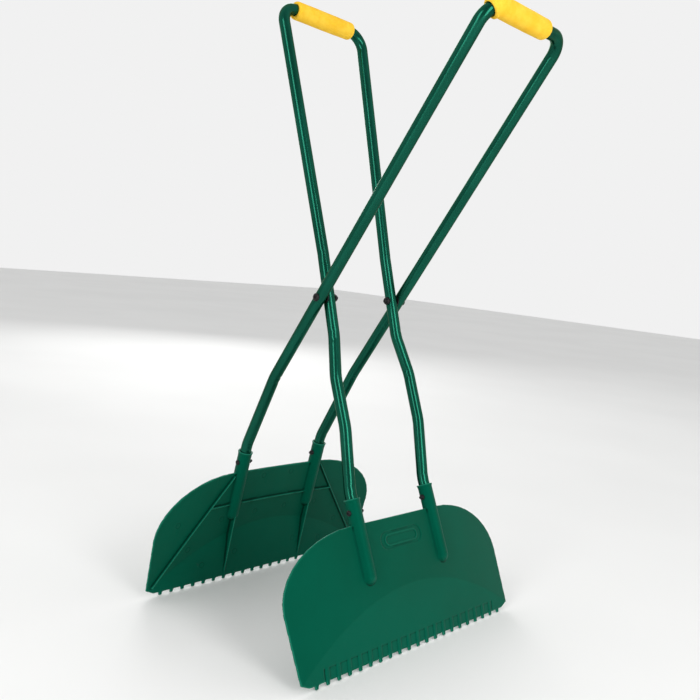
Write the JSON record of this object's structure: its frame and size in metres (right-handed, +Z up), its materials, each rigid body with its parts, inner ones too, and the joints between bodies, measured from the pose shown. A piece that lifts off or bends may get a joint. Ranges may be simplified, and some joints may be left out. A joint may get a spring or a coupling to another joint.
{
  "type": "long-handled leaf grabber",
  "caption": "Scissor-action leaf grabber: two bent tube frames crossing on a pivot, each with a wide toothed plastic scoop below and a foam grip on its top bar.",
  "frame": {"origin": "on the ground, under the middle of the pivot axis, with the grabber standing open on its teeth", "axes": "+Z up; Y along the pivot axis; +X towards the front scoop, which is on the inner frame"},
  "size_m": [0.3907, 0.434, 0.8503],
  "materials": {
    "scoop_plastic": "moulded, slightly satin, mid green",
    "tube_enamel": "gloss enamel on bent steel tube, dark green",
    "grip_foam": "soft closed-cell foam, matt, yellow",
    "black_fastener": "black-oxide steel screws and nuts",
    "spacer_steel": "black oxide steel"
  },
  "bodies": {
    "inner_frame": {"inner_handle_tube": "tube_enamel", "inner_grip": "grip_foam", "front_scoop": "scoop_plastic", "front_near_socket_screw": "black_fastener", "front_near_socket_nut": "black_fastener", "front_far_socket_screw": "black_fastener", "front_far_socket_nut": "black_fastener"},
    "outer_frame": {"outer_handle_tube": "tube_enamel", "outer_grip": "grip_foam", "rear_scoop": "scoop_plastic", "rear_near_socket_screw": "black_fastener", "rear_near_socket_nut": "black_fastener", "rear_far_socket_screw": "black_fastener", "rear_far_socket_nut": "black_fastener", "near_pivot_bolt": "black_fastener", "far_pivot_bolt": "black_fastener", "near_pivot_spacer": "spacer_steel", "far_pivot_spacer": "spacer_steel", "near_pivot_nut": "black_fastener", "far_pivot_nut": "black_fastener"}
  },
  "joints": [
    {"name": "scissor_hinge", "type": "hinge", "parent": "inner_frame", "child": "outer_frame", "pos_m": [0, 0, 0.444], "axis": [0, 1, 0], "range_deg": [-38, 20]}
  ]
}
